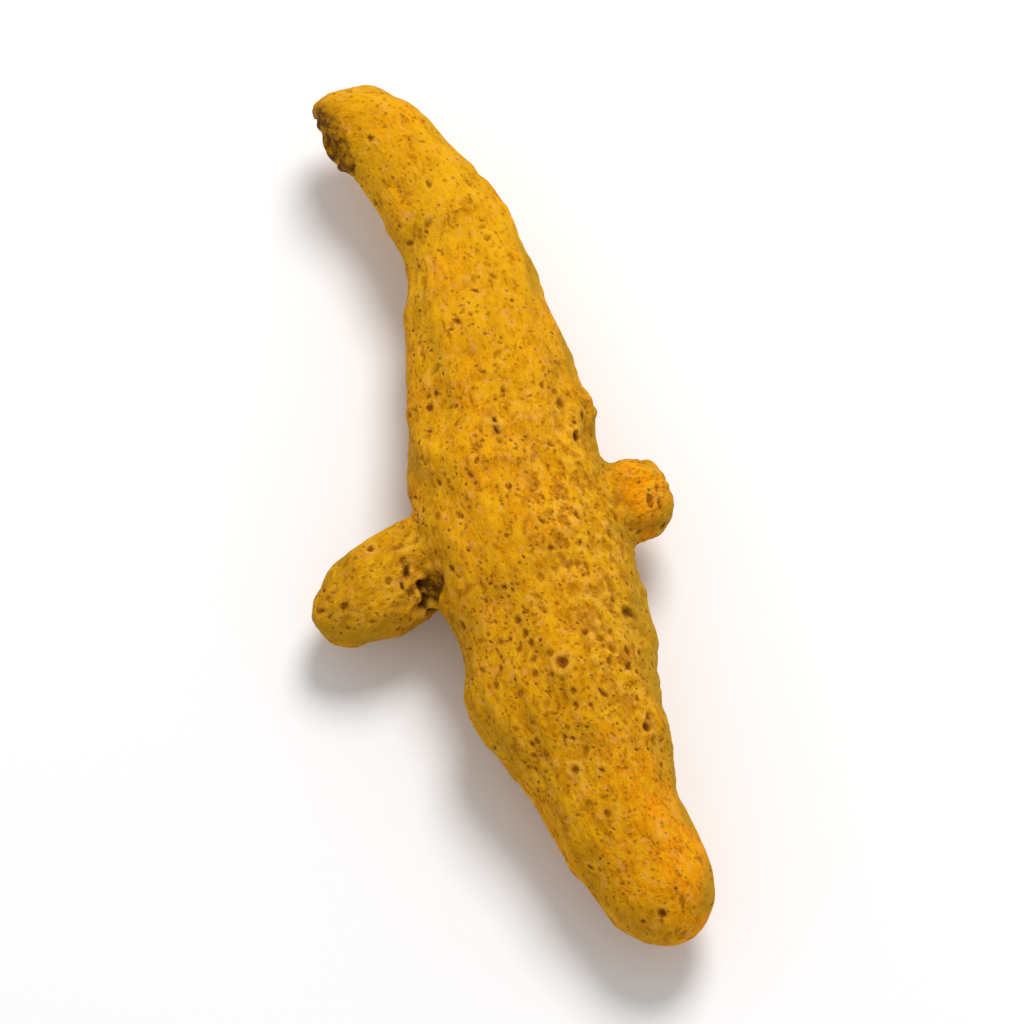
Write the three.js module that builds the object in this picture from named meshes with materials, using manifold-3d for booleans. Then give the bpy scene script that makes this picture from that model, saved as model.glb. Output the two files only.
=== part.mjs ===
// A dried finger of turmeric root: one grown piece, with a side branch, a bud, root scars,
// faint leaf rings and the scar where it broke from its mother root.
// Millimetres. +X runs from the broken neck to the growing tip, +Y is the bud's side, +Z is up.

import * as THREE from 'three';
import { ImprovedNoise } from 'three/addons/math/ImprovedNoise.js';
import { ParametricGeometry } from 'three/addons/geometries/ParametricGeometry.js';
import { mergeVertices } from 'three/addons/utils/BufferGeometryUtils.js';
import Module from 'manifold-3d';

// Limbs. A station is [x, y, z, half width] of a limb's axis, listed from its root to its tip.
// The neck hooks over to -Y and ends there in the scar, and the belly is widest by the branch.
const BODY_STATIONS = [
  [-31.4, 0.7, 6.0, 3.0],
  [-31.6, 2.8, 6.0, 3.2],
  [-30.1, 4.8, 6.0, 3.4],
  [-25.5, 6.3, 6.0, 3.55],
  [-19.5, 7.0, 6.1, 4.3],
  [-13.5, 5.9, 6.3, 5.5],
  [-7.5, 4.6, 6.0, 6.3],
  [-1.5, 3.1, 5.9, 6.9],
  [4.5, 2.3, 6.1, 7.1],
  [9.5, 1.9, 6.0, 6.9],
  [15.0, 1.0, 6.1, 6.7],
  [19.5, 0.7, 5.9, 5.8],
  [25.0, 0.6, 5.6, 4.8],
  [30.0, 1.3, 5.3, 4.2],
  [35.0, 1.6, 5.1, 3.8],
];
const BRANCH_STATIONS = [
  [1.2, -0.5, 5.6, 2.8],
  [1.1, -5.0, 5.3, 3.3],
  [1.4, -8.0, 4.9, 3.6],
  [2.2, -11.0, 4.5, 3.3],
  [2.9, -13.9, 4.2, 2.9],
];
const BUD_STATIONS = [
  [2.9, 5.0, 6.2, 2.5],
  [2.9, 9.0, 6.1, 2.8],
  [2.9, 11.5, 6.0, 3.0],
  [2.8, 14.0, 5.9, 2.9],
];
const FLATNESS = 0.92;      // height of a section over its width
const EASE = 2.5;           // a section faces the mean way of the axis over this far to each side
const TIP_ROUNDING = 4.2;   // length of the body's rounded tip
const BRANCH_ROUNDING = 4.6;
const BUD_ROUNDING = 2.7;
const END_DIMPLE = 0.5;     // depth of the closed eye at the end of the branch and of the bud

// The scar at the neck
const SCAR_HOLLOW = 1.1;    // depth of its middle below the rim
const SCAR_ROUGHNESS = 2.5;
const SCAR_ROWS = 0.07;     // share of the body's rows that cross its face

// Relief of the skin
const LUMP_SIZE = 9;
const LUMP_RISE = 0.45;
const KNOB_SIZE = 3.6;
const KNOB_RISE = 0.26;
const WRINKLE_COUNT = 12;   // lengthwise wrinkles round the body
const WRINKLE_RISE = 0.2;
const BASE_WRINKLE_COUNT = 8;
const BASE_WRINKLE_RISE = 0.4;
const RING_PLACES = [13, 19.5, 26, 33.5, 42, 49, 55, 60.5];   // leaf rings, along the body
const RING_RISE = 0.22;
const RING_WIDTH = 0.75;
const RING_SLANT = 1.2;

// Swellings and scars on the body: [along it, degrees round it from +Y over the top, radius, rise]
const SWELLINGS = [
  [3.4, 0, 2.2, 0.5],       // outer corner of the neck
  [28.8, 8, 2.6, 0.7],      // scar of a lost bud, in front of the living one
  [38.0, 178, 6.5, 0.7],    // collar of the branch
  [39.0, 0, 5.5, 0.6],      // collar of the bud
  [50.5, 172, 4.5, 0.7],    // shoulder behind the branch
  [50.0, -42, 3.0, 1.3],    // sleeping bud, low on the bud's side
  [22.0, -120, 2.6, 0.8],   // sleeping bud under the neck
  [26.9, 14, 1.1, -0.5],    // crease beside the lost bud
  [31.4, 18, 1.4, -0.6],
  [71.5, 40, 1.3, -0.35],   // scale scar at the tip
];
const ROOT_SCAR_COUNT = 24;
const ROOT_SCAR_FIRST = 10;
const ROOT_SCAR_LAST = 66;
const ROOT_SCAR_RADIUS = 1.7;
const ROOT_SCAR_DEPTH = 0.5;
const GOLDEN_ANGLE = Math.PI * (3 - Math.sqrt(5));

// Facets: round each limb and along it, and how the rows are shared out
const BODY_FACETS = [60, 80];
const BRANCH_FACETS = [28, 22];
const BUD_FACETS = [26, 16];
const BODY_CAP_FROM = 0.91;   // the rounded tip starts at this share of the rows past the scar
const SIDE_CAP_FROM = 0.55;
const SIDE_ROOT_ROWS = 12;    // a side limb opens to full size within one part in 12, inside the body

const TURMERIC = { color: 0xcf8a12, roughness: 0.92, metalness: 0 };

const perlin = new ImprovedNoise();

function noise(point, size, shift = 0) {
  return perlin.noise(point.x / size + shift, point.y / size + 31.7, point.z / size + 7.3);
}

// The axis of a limb with its section at every place on it.
class Limb {
  constructor(stations) {
    const places = stations.map(([x, y, z]) => new THREE.Vector3(x, y, z));
    const sizes = stations.map(([, , , half]) => new THREE.Vector2(half, half * FLATNESS));
    this.axis = new THREE.CatmullRomCurve3(places);
    this.girth = new THREE.SplineCurve(sizes);
    this.length = this.axis.getLength();
  }

  // Centre, side, up and half sizes of the section at a distance along the axis.
  section(along) {
    const share = (distance) => THREE.MathUtils.clamp(distance / this.length, 0, 1);
    const t = this.axis.getUtoTmapping(share(along));
    const before = this.axis.getPointAt(share(along - EASE));
    const after = this.axis.getPointAt(share(along + EASE));
    const tangent = after.sub(before).normalize();
    const side = new THREE.Vector3(0, 0, 1).cross(tangent).normalize();
    const up = new THREE.Vector3().crossVectors(tangent, side);
    return { centre: this.axis.getPoint(t), tangent, side, up, half: this.girth.getPoint(t) };
  }

  // Point on the plain skin, with its outward direction across the axis.
  skin(along, angle, share = 1) {
    const { centre, tangent, side, up, half } = this.section(along);
    const out = side.clone().multiplyScalar(Math.cos(angle)).addScaledVector(up, Math.sin(angle));
    const point = centre.clone();
    point.addScaledVector(side, Math.cos(angle) * half.x * share);
    point.addScaledVector(up, Math.sin(angle) * half.y * share);
    return { point, out, tangent };
  }
}

// A rounded tip: rows past capFrom close in on the axis along a quarter of an ellipse.
function rowWithRoundTip(v, capFrom, length, rounding) {
  if (v < capFrom) {
    return { along: (v / capFrom) * (length - rounding), share: 1 };
  }
  const turn = ((v - capFrom) / (1 - capFrom)) * (Math.PI / 2);
  return { along: length - rounding + rounding * Math.sin(turn), share: Math.cos(turn) };
}

const body = new Limb(BODY_STATIONS);
const branch = new Limb(BRANCH_STATIONS);
const bud = new Limb(BUD_STATIONS);

// Height of a soft round swelling at a point.
function swelling(point, centre, radius) {
  const near = Math.max(0, 1 - point.distanceToSquared(centre) / (radius * radius));
  return near * near;
}

const swellings = SWELLINGS.map(([along, degrees, radius, rise]) => {
  const centre = body.skin(along, THREE.MathUtils.degToRad(degrees)).point;
  return { centre, radius, rise };
});

// Root scars sit in turn round the body, as the leaves did, and each is a dent with a raised lip.
const rootScars = [];
for (let i = 0; i < ROOT_SCAR_COUNT; i++) {
  const along = THREE.MathUtils.lerp(ROOT_SCAR_FIRST, ROOT_SCAR_LAST, (i + 0.5) / ROOT_SCAR_COUNT);
  const centre = body.skin(along, i * GOLDEN_ANGLE).point;
  rootScars.push({ centre, size: 0.75 + 0.5 * Math.abs(noise(centre, 3, 50)) });
}

function rootScarRelief(point) {
  let height = 0;
  for (const { centre, size } of rootScars) {
    const radius = ROOT_SCAR_RADIUS * size;
    height -= ROOT_SCAR_DEPTH * size * swelling(point, centre, radius);
    height += 0.35 * ROOT_SCAR_DEPTH * swelling(point, centre, 1.9 * radius);
  }
  return height;
}

// A leaf ring is a low ridge that slants and wavers round the body, with a groove on its tip side.
function ringRelief(point, along, angle) {
  let height = 0;
  RING_PLACES.forEach((place, i) => {
    const waver = RING_SLANT * Math.cos(angle + i * 2.1) + 1.6 * noise(point, 5, i);
    const off = (along - place - waver) / RING_WIDTH;
    height += RING_RISE * (Math.exp(-off * off) - 0.6 * Math.exp(-(off - 2) * (off - 2)));
  });
  return height;
}

// Wrinkles run lengthwise, wander and die out, and the neck has few.
function wrinkleRelief(point, along, angle) {
  const drift = 9 * noise(point, 14);
  const patch = THREE.MathUtils.smoothstep(noise(point, 7, 20), -0.25, 0.4);
  const reach = THREE.MathUtils.smoothstep(along, 4, 16);
  return WRINKLE_RISE * patch * reach * Math.cos(WRINKLE_COUNT * angle + drift);
}

function bodyRelief(point, along, angle) {
  let height = LUMP_RISE * noise(point, LUMP_SIZE, 9) + KNOB_RISE * noise(point, KNOB_SIZE, 40);
  height += wrinkleRelief(point, along, angle) + ringRelief(point, along, angle) + rootScarRelief(point);
  for (const { centre, radius, rise } of swellings) {
    height += rise * swelling(point, centre, radius);
  }
  return height;
}

// The skin of the body. Its first rows cross the scar, from the hollow middle out to the rim.
function bodySkin(u, v, target) {
  const angle = (u % 1) * 2 * Math.PI;
  if (v < SCAR_ROWS) {
    const share = v / SCAR_ROWS;
    const rim = body.skin(0, angle);
    const { point, tangent } = body.skin(0, angle, share);
    const ragged = SCAR_ROUGHNESS * noise(point, 1.7, 3) * share * (1 - share);
    target.copy(point).addScaledVector(tangent, SCAR_HOLLOW * (1 - share ** 2) + ragged);
    target.addScaledVector(rim.out, bodyRelief(rim.point, 0, angle) * share);
  } else {
    const spread = (v - SCAR_ROWS) / (1 - SCAR_ROWS);
    const { along, share } = rowWithRoundTip(spread, BODY_CAP_FROM, body.length, TIP_ROUNDING);
    const { point, out } = body.skin(along, angle, share);
    target.copy(point).addScaledVector(out, bodyRelief(point, along, angle) * share);
  }
  target.z = Math.max(target.z, 0);
}

// The skin of a side limb: wrinkled where it leaves the body, smoother towards its tip,
// with one leaf ring half way out and a closed eye at the end.
function sideSkin(limb, rounding, shift) {
  return (u, v, target) => {
    const angle = (u % 1) * 2 * Math.PI;
    const { along, share } = rowWithRoundTip(v, SIDE_CAP_FROM, limb.length, rounding);
    const opening = Math.min(1, v * SIDE_ROOT_ROWS);
    const { point, out, tangent } = limb.skin(along, angle, share * opening);
    const fold = BASE_WRINKLE_RISE * (1 - along / limb.length);
    let height = fold * Math.cos(BASE_WRINKLE_COUNT * angle + 5 * noise(point, 5, shift));
    height += LUMP_RISE * noise(point, 5, shift) + 1.6 * KNOB_RISE * noise(point, 2.4, shift);
    const off = (along - 0.62 * limb.length - 1.5 * noise(point, 3, shift)) / RING_WIDTH;
    height += RING_RISE * Math.exp(-off * off);
    target.copy(point).addScaledVector(out, height * share * opening);
    const eye = Math.max(0, 1 - (share / 0.5) ** 2);
    if (v > SIDE_CAP_FROM) {
      target.addScaledVector(tangent, -END_DIMPLE * eye * eye);
    }
  };
}

const wasm = await Module();
wasm.setup();

// A closed skin as a solid. The rows that shrink to a point leave empty triangles, which are dropped.
function solid(skin, [round, along]) {
  const geometry = new ParametricGeometry(skin, round, along);
  geometry.deleteAttribute('normal');
  geometry.deleteAttribute('uv');
  const merged = mergeVertices(geometry, 1e-3);
  const corners = merged.index.array;
  const kept = [];
  for (let i = 0; i < corners.length; i += 3) {
    const [a, b, c] = corners.slice(i, i + 3);
    if (a !== b && b !== c && c !== a) {
      kept.push(a, b, c);
    }
  }
  return new wasm.Manifold(new wasm.Mesh({
    numProp: 3,
    vertProperties: new Float32Array(merged.attributes.position.array),
    triVerts: new Uint32Array(kept),
  }));
}

const grown = solid(bodySkin, BODY_FACETS)
  .add(solid(sideSkin(branch, BRANCH_ROUNDING, 60), BRANCH_FACETS))
  .add(solid(sideSkin(bud, BUD_ROUNDING, 80), BUD_FACETS));
const joined = grown.getMesh();

const geometry = new THREE.BufferGeometry();
geometry.setAttribute('position', new THREE.BufferAttribute(joined.vertProperties, 3));
geometry.setIndex(new THREE.BufferAttribute(joined.triVerts, 1));

// The origin is the middle of the piece, on the surface that it rests on.
geometry.computeBoundingBox();
const middle = geometry.boundingBox.getCenter(new THREE.Vector3());
geometry.translate(-middle.x, -middle.y, -geometry.boundingBox.min.z);
geometry.computeVertexNormals();

const rhizome = new THREE.Mesh(geometry, new THREE.MeshStandardMaterial(TURMERIC));
rhizome.name = 'rhizome';

const turmeric = new THREE.Group();
turmeric.add(rhizome);

export default turmeric;
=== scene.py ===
"""A dried finger of turmeric root on a pale floor.

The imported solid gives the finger's form. Its skin is made here on a fine copy of that form: wrinkles,
leaf rings, creases round the side branch and the bud, root scars, pores and the torn scar at the neck are
all moved into the mesh, because such grown relief has no flat faces that could be extruded or inset.
The colours of the skin follow the same relief through attributes of its points.

Lengths are millimetres in the classes below and metres in Blender. +X runs from the neck to the tip.
"""

import logging
import math
from dataclasses import dataclass, field
from enum import Enum

import bpy
import numpy as np
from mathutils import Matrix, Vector, kdtree, noise


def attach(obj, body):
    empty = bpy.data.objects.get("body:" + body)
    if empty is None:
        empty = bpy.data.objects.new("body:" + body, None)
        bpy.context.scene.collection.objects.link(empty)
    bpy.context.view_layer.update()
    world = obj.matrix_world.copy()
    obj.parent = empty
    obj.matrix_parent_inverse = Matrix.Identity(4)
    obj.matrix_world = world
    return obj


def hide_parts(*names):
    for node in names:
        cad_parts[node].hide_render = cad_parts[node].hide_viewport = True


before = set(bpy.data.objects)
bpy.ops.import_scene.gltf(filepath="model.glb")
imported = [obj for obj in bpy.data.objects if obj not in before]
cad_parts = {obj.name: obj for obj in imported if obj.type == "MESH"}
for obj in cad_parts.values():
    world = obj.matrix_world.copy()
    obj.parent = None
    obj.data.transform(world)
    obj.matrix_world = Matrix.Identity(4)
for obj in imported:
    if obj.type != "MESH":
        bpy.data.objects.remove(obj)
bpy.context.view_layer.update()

MM = 0.001
LOG = logging.getLogger("turmeric")

Station = tuple[float, float, float, float]
Place = tuple[float, float, float]
Colour = tuple[float, float, float]
Range = tuple[float, float]
Array = np.ndarray
Socket = bpy.types.NodeSocket


def smoothstep(values: Array, low: float, high: float) -> Array:
    """Eases values from 0 at low to 1 at high, where low may be the larger."""
    share = np.clip((values - low) / (high - low), 0.0, 1.0)
    return share * share * (3.0 - 2.0 * share)


def bell(values: Array, centre: float, width: float) -> Array:
    """Gives 1 at the centre, falling off smoothly to about a third at the width."""
    return np.exp(-(((values - centre) / width) ** 2))


def point_tree(points: Array) -> kdtree.KDTree:
    """Makes a tree that finds the nearest of many points.

    Args:
        points: Rows of x, y, z.

    Returns:
        The tree, which names each point by its row.
    """
    tree = kdtree.KDTree(len(points))
    for i, point in enumerate(points.tolist()):
        tree.insert(point, i)
    tree.balance()
    return tree


@dataclass(frozen=True)
class Fade:
    """A factor that eases from one value to another between two places, in either direction."""

    start: float
    end: float
    first: float = 0.0
    last: float = 1.0

    def at(self, values: Array) -> Array:
        """Gives the factor at each of the values."""
        return self.first + (self.last - self.first) * smoothstep(values, self.start, self.end)


class Waver(Enum):
    """The smooth noises of the relief and the marks: the width of their lumps, and their shift."""

    SWELLS = (2.6, 3.0)
    WRINKLES = ((8.0, 1.15, 1.15), 5.0)
    WORN = (2.2, 7.0)
    LUMPS = (1.1, 11.0)
    CRUMBLY = (3.2, 13.0)
    FIBRES = ((3.6, 0.5175, 0.5175), 17.0)
    TIP = (3.0, 19.0)
    GRIT = (0.5, 23.0)
    SCAR_RIM = (1.3, 29.0)
    SCAR_FACE = (0.9, 31.0)
    CRUMPLES = (0.7, 37.0)
    WRINKLED = (6.0, 43.0)
    RINGS = (2.5, 51.0)
    CRUMBS = (0.85, 57.0)
    CREASES = (1.1, 61.0)
    FOLDS = (2.0, 71.0)
    PORES = (3.0, 83.0)
    WARM = (3.5, 91.0)
    OLIVE = (3.0, 97.0)

    def at(self, points: Array) -> Array:
        """Gives the noise at rows of x, y and z in millimetres, from about -1 to 1."""
        size, shift = self.value
        return np.array([noise.noise(row) for row in (points / np.array(size) + shift).tolist()])


class LimbName(Enum):
    """The three limbs of the finger, numbered in the order in which the skin measures them."""

    BODY = 0
    BRANCH = 1
    BUD = 2


@dataclass(frozen=True)
class Limb:
    """The axis of a limb and its half widths, from its root to its tip.

    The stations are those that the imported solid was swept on.
    """

    name: LimbName
    stations: tuple[Station, ...]
    step: float = 0.15

    def line(self) -> Array:
        """Runs a smooth curve through the stations.

        Returns:
            Rows of x, y, z and half width, about one step apart.
        """
        knots = np.array(self.stations)
        knots = np.vstack([2 * knots[0] - knots[1], knots, 2 * knots[-1] - knots[-2]])
        rows = []
        for before, start, end, after in zip(knots, knots[1:], knots[2:], knots[3:]):
            count = max(2, round(float(np.linalg.norm((end - start)[:3])) / self.step))
            t = np.linspace(0.0, 1.0, count, endpoint=False)[:, None]
            bend = (2 * before - 5 * start + 4 * end - after) * t**2
            bend = bend + (3 * start - before - 3 * end + after) * t**3
            rows.append(start + 0.5 * ((end - before) * t + bend))
        return np.vstack([*rows, knots[-2]])

    def measure(self, points: Array) -> "LimbPlaces":
        """Finds where points lie along and round the limb.

        Args:
            points: Rows of x, y, z.

        Returns:
            Their places on this limb.
        """
        line = self.line()
        axis, half = line[:, :3], line[:, 3]
        tangent = np.gradient(axis, axis=0)
        tangent /= np.linalg.norm(tangent, axis=1)[:, None]
        travelled = np.concatenate([[0.0], np.cumsum(np.linalg.norm(np.diff(axis, axis=0), axis=1))])
        tree = point_tree(axis)
        near = np.array([tree.find(p)[1] for p in points.tolist()])
        offset = points - axis[near]
        ahead = (offset * tangent[near]).sum(axis=1)
        side = np.cross([0.0, 0.0, 1.0], tangent)
        side /= np.linalg.norm(side, axis=1)[:, None]
        up = np.cross(tangent, side)
        across, above = (offset * side[near]).sum(axis=1), (offset * up[near]).sum(axis=1)
        return LimbPlaces(
            along=travelled[near] + ahead,
            angle=np.arctan2(above, across),
            radius=np.hypot(across, above),
            half=half[near],
            gap=np.linalg.norm(offset, axis=1) - half[near],
            tangent=tangent[near],
            length=float(travelled[-1]),
        )


@dataclass(frozen=True)
class LimbPlaces:
    """Where the points of the skin lie on one limb."""

    along: Array
    angle: Array
    radius: Array
    half: Array
    gap: Array
    tangent: Array
    length: float

    def grain(self) -> Array:
        """Straightens the limb: gives rows of the distances along, across and above its axis."""
        across, above = self.radius * np.cos(self.angle), self.radius * np.sin(self.angle)
        return np.column_stack([self.along, across, above])


BODY = Limb(LimbName.BODY, (
    (-31.4, 0.7, 6.0, 3.0),
    (-31.6, 2.8, 6.0, 3.2),
    (-30.1, 4.8, 6.0, 3.4),
    (-25.5, 6.3, 6.0, 3.55),
    (-19.5, 7.0, 6.1, 4.3),
    (-13.5, 5.9, 6.3, 5.5),
    (-7.5, 4.6, 6.0, 6.3),
    (-1.5, 3.1, 5.9, 6.9),
    (4.5, 2.3, 6.1, 7.1),
    (9.5, 1.9, 6.0, 6.9),
    (15.0, 1.0, 6.1, 6.7),
    (19.5, 0.7, 5.9, 5.8),
    (25.0, 0.6, 5.6, 4.8),
    (30.0, 1.3, 5.3, 4.2),
    (35.0, 1.6, 5.1, 3.8),
))
BRANCH = Limb(LimbName.BRANCH, (
    (1.2, -0.5, 5.6, 2.8),
    (1.1, -5.0, 5.3, 3.3),
    (1.4, -8.0, 4.9, 3.6),
    (2.2, -11.0, 4.5, 3.3),
    (2.9, -13.9, 4.2, 2.9),
))
BUD = Limb(LimbName.BUD, (
    (2.9, 5.0, 6.2, 2.5),
    (2.9, 9.0, 6.1, 2.8),
    (2.9, 11.5, 6.0, 3.0),
    (2.8, 14.0, 5.9, 2.9),
))


class SpotKind(Enum):
    """A small hole or crumb in the skin: length over width, depth and rim height over its radius."""

    PORE = (1.25, 0.80, 0.12)
    SLIT = (2.0, 0.90, 0.12)
    RINGED = (1.15, 0.58, 0.36)
    CREVICE = (2.0, 1.2, 0.25)
    CRUMB = (1.3, -0.55, 0.0)


@dataclass(frozen=True)
class Spot:
    """A small hole or crumb in the skin, at the skin's point nearest to its place."""

    kind: SpotKind
    place: Place
    radius: float
    turn: float = 0.0

    def away(self, offset: Array, normal: Array, tangent: Array) -> Array:
        """Measures how far points lie from the spot's middle, in its radii.

        Args:
            offset: Rows from the middle to the points.
            normal: The skin's normal at the middle.
            tangent: The limb's direction there.

        Returns:
            The distances, which are 1 at the spot's edge.
        """
        length = tangent - normal * (tangent @ normal)
        length /= np.linalg.norm(length)
        width = np.cross(normal, length)
        turn = math.radians(self.turn)
        lengthwise = offset @ (length * math.cos(turn) + width * math.sin(turn))
        widthwise = offset @ (width * math.cos(turn) - length * math.sin(turn))
        stretch = self.kind.value[0]
        return np.hypot(lengthwise / stretch, widthwise) / self.radius


# The spots that can be made out one by one: x, y, z, radius and, where it matters, turn in degrees.
# They were picked out by eye, and a scratch script then found x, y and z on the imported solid.
PLACED_SPOTS = {
    SpotKind.PORE: (
        (-29.6, 3.9, 8.8, 0.24), (-25.7, 2.6, 6.6, 0.28), (-20.5, 5.9, 9.5, 0.18), (-18.8, 8.5, 9.8, 0.26),
        (-13.5, 8.3, 10.4, 0.18), (-10.8, 0.0, 9.1, 0.18), (-10.4, 6.0, 11.2, 0.18), (-9.2, 0.0, 9.7, 0.18),
        (-9.0, 0.5, 10.1, 0.22), (-8.3, -0.3, 9.7, 0.26), (-5.8, 8.3, 9.8, 0.26), (-5.1, 8.4, 9.7, 0.34),
        (-4.7, 2.1, 11.8, 0.2), (-3.8, 1.9, 12.0, 0.18), (-3.2, 2.9, 12.1, 0.22), (-1.7, 2.8, 12.5, 0.26),
        (0.4, 2.2, 12.6, 0.24), (1.0, 1.7, 12.6, 0.15), (-0.3, 3.8, 12.3, 0.16), (-1.8, 6.4, 11.4, 0.28),
        (-0.3, -0.9, 11.5, 0.26), (-2.1, -1.4, 10.9, 0.22), (-1.4, -1.4, 11.0, 0.18),
        (-1.4, -3.8, 9.0, 0.2), (0.2, -5.0, 8.1, 0.26), (3.7, -3.7, 9.9, 0.24), (7.6, -4.3, 8.4, 0.31),
        (3.9, -8.3, 7.3, 0.2), (4.0, -8.0, 7.2, 0.24), (5.8, 3.1, 12.5, 0.24), (4.3, 2.8, 12.8, 0.16),
        (6.8, 3.7, 12.1, 0.28), (7.6, 4.6, 11.9, 0.22), (7.6, 1.6, 12.2, 0.28), (7.1, -1.0, 11.7, 0.2),
        (9.0, 6.1, 10.9, 0.24), (10.7, 6.0, 10.7, 0.2), (11.9, 4.5, 11.6, 0.28), (12.6, 3.0, 12.1, 0.24),
        (13.4, 3.8, 11.9, 0.26), (12.3, 7.1, 9.6, 0.28), (9.7, -1.1, 11.5, 0.28), (11.0, -0.9, 11.7, 0.28),
        (13.2, 0.0, 12.4, 0.24), (13.0, -1.2, 11.7, 0.24), (12.3, -3.4, 10.5, 0.2),
        (13.3, -4.2, 10.2, 0.26), (14.1, -1.5, 11.8, 0.24), (16.5, 0.4, 12.1, 0.24),
        (17.5, 0.3, 11.9, 0.26), (16.3, -1.6, 11.6, 0.26), (18.5, -1.0, 11.3, 0.2), (14.8, 6.3, 9.9, 0.26),
        (15.9, 5.0, 11.0, 0.26), (14.5, 4.3, 11.7, 0.28), (19.7, 5.0, 10.1, 0.28), (20.3, 4.6, 10.2, 0.36),
        (16.8, -4.1, 9.8, 0.24), (16.9, -3.0, 10.5, 0.22), (18.3, -3.1, 10.1, 0.24),
        (18.3, -3.5, 9.7, 0.22), (19.1, -1.3, 11.0, 0.2), (25.2, -0.6, 10.0, 0.24), (33.0, 0.3, 8.0, 0.33),
        (5.5, 12.2, 6.4, 0.34), (5.6, 10.3, 7.2, 0.22), (28.7, -3.3, 6.0, 0.16), (33.5, 0.2, 7.6, 0.22),
        (33.1, -1.0, 7.4, 0.2),
    ),
    SpotKind.SLIT: (
        (-24.3, 6.3, 9.5, 0.2), (-21.7, 5.1, 9.4, 0.24, -70), (-21.2, 3.5, 8.1, 0.22, 65),
        (-16.0, 6.2, 10.4, 0.22, -10), (-15.8, 7.7, 10.3, 0.2, 40), (-15.0, 6.0, 10.6, 0.18, 60),
        (-13.3, 3.9, 10.9, 0.22, 45), (-10.8, 1.2, 10.0, 0.26, -65), (-9.8, 5.5, 11.4, 0.22, -40),
        (-7.0, 4.8, 11.5, 0.2), (-1.0, 4.7, 12.1, 0.22, -5), (3.9, 6.0, 11.5, 0.22),
        (0.6, -1.7, 11.2, 0.22, 30), (3.7, 3.4, 12.7, 0.22, 35), (0.1, -6.4, 8.1, 0.22),
        (1.3, -6.6, 8.3, 0.24, 60), (3.3, -6.7, 6.9, 0.24, 20), (2.4, -11.5, 7.2, 0.26, 20),
        (9.6, 5.0, 11.4, 0.26, 45), (9.7, 6.2, 10.7, 0.28, 35), (17.4, 2.5, 11.7, 0.2, 35),
        (14.7, 5.5, 11.0, 0.26), (21.3, 4.7, 9.5, 0.24), (20.5, -0.3, 10.8, 0.26, -35),
        (4.4, 12.3, 7.8, 0.26, 85), (3.2, 12.7, 8.4, 0.18, 60), (4.0, 11.7, 8.4, 0.28, 80),
        (5.9, 9.0, 8.4, 0.28, -20), (5.8, 7.8, 10.1, 0.24, 20), (11.8, 6.8, 10.0, 0.38, 75),
    ),
    SpotKind.RINGED: (
        (-0.6, -8.1, 7.8, 0.26), (2.2, -7.9, 7.8, 0.26), (14.3, 0.5, 12.7, 0.42), (21.4, -1.4, 10.3, 0.32),
    ),
    SpotKind.CREVICE: (
        (-5.0, 3.4, 11.8, 0.18), (-4.1, 3.2, 11.9, 0.22, 20), (-2.2, 8.5, 9.6, 0.26, -15),
        (-3.8, 9.7, 8.6, 0.24), (2.0, -6.5, 8.0, 0.28, 50), (2.8, -7.1, 7.7, 0.18, 70),
        (3.1, -6.0, 6.9, 0.3, 75), (3.7, -5.8, 6.5, 0.26, 95), (4.1, -6.2, 6.0, 0.3, 60),
        (4.6, -5.8, 5.3, 0.26, 80),
    ),
    SpotKind.CRUMB: (
        (-16.1, 5.8, 10.4, 0.28), (-4.3, 7.8, 10.2, 0.28), (-4.4, 3.5, 11.9, 0.28), (-5.2, 2.8, 11.8, 0.24),
        (-3.5, 7.1, 10.7, 0.24), (-4.4, 6.0, 11.3, 0.22), (3.7, -4.1, 9.3, 0.24), (7.9, -4.7, 7.5, 0.24),
        (1.5, -6.3, 8.1, 0.24), (3.7, -6.9, 6.6, 0.24), (4.0, -8.0, 7.2, 0.16), (2.9, -6.4, 7.4, 0.2),
        (3.4, -6.6, 6.9, 0.22), (4.2, -6.8, 6.0, 0.22), (4.7, -6.4, 5.2, 0.2), (12.4, 3.9, 11.8, 0.34),
        (13.3, 3.1, 12.2, 0.24), (13.2, 6.2, 9.9, 0.22), (13.3, 6.8, 9.5, 0.2), (19.7, 4.5, 10.4, 0.26),
        (21.4, -1.9, 10.1, 0.26), (33.5, -0.3, 7.3, 0.24), (33.6, -1.1, 6.4, 0.22), (28.2, 2.2, 9.5, 0.26),
        (5.7, 11.7, 6.4, 0.26), (5.8, 9.9, 6.7, 0.22), (3.7, 12.8, 8.0, 0.24),
    ),
}


@dataclass(frozen=True)
class Knot:
    """A crumpled swelling on the skin, at the skin's point nearest to its place."""

    place: Place
    radius: float
    rise: float
    crumple: float


KNOTS = (
    Knot((-5.0, 10.2, 7.4), 2.0, 0.10, 0.45),
    Knot((-2.4, 9.6, 7.6), 1.7, 0.00, 0.50),
    Knot((2.0, -6.4, 7.8), 1.6, 0.05, 0.40),
    Knot((3.7, -6.2, 6.6), 1.9, 0.05, 0.60),
    Knot((19.9, 5.2, 8.9), 1.3, 0.15, 0.20),
    Knot((33.9, 0.2, 7.2), 1.2, 0.10, 0.25),
)


class Tone(Enum):
    """The colours of the skin, as shares of red, green and blue light."""

    GOLD = (0.67, 0.295, 0.002)
    OCHRE = (0.47, 0.172, 0.001)
    UMBER = (0.27, 0.088, 0.001)
    RUST = (0.37, 0.12, 0.001)
    POWDER = (0.78, 0.40, 0.006)
    PINK = (0.76, 0.34, 0.05)
    ORANGE = (0.82, 0.26, 0.001)
    # Also laid as painted shade on the flanks.
    OLIVE = (0.43, 0.235, 0.006)
    RIM = (0.76, 0.395, 0.04)
    PORE = (0.19, 0.052, 0.002)
    # The torn neck's colour, also laid as painted shade in the creases.
    TORN = (0.13, 0.045, 0.004)
    # Painted shade inside crevices and the larger pores and slits.
    DEEP = (0.055, 0.016, 0.001)


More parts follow.
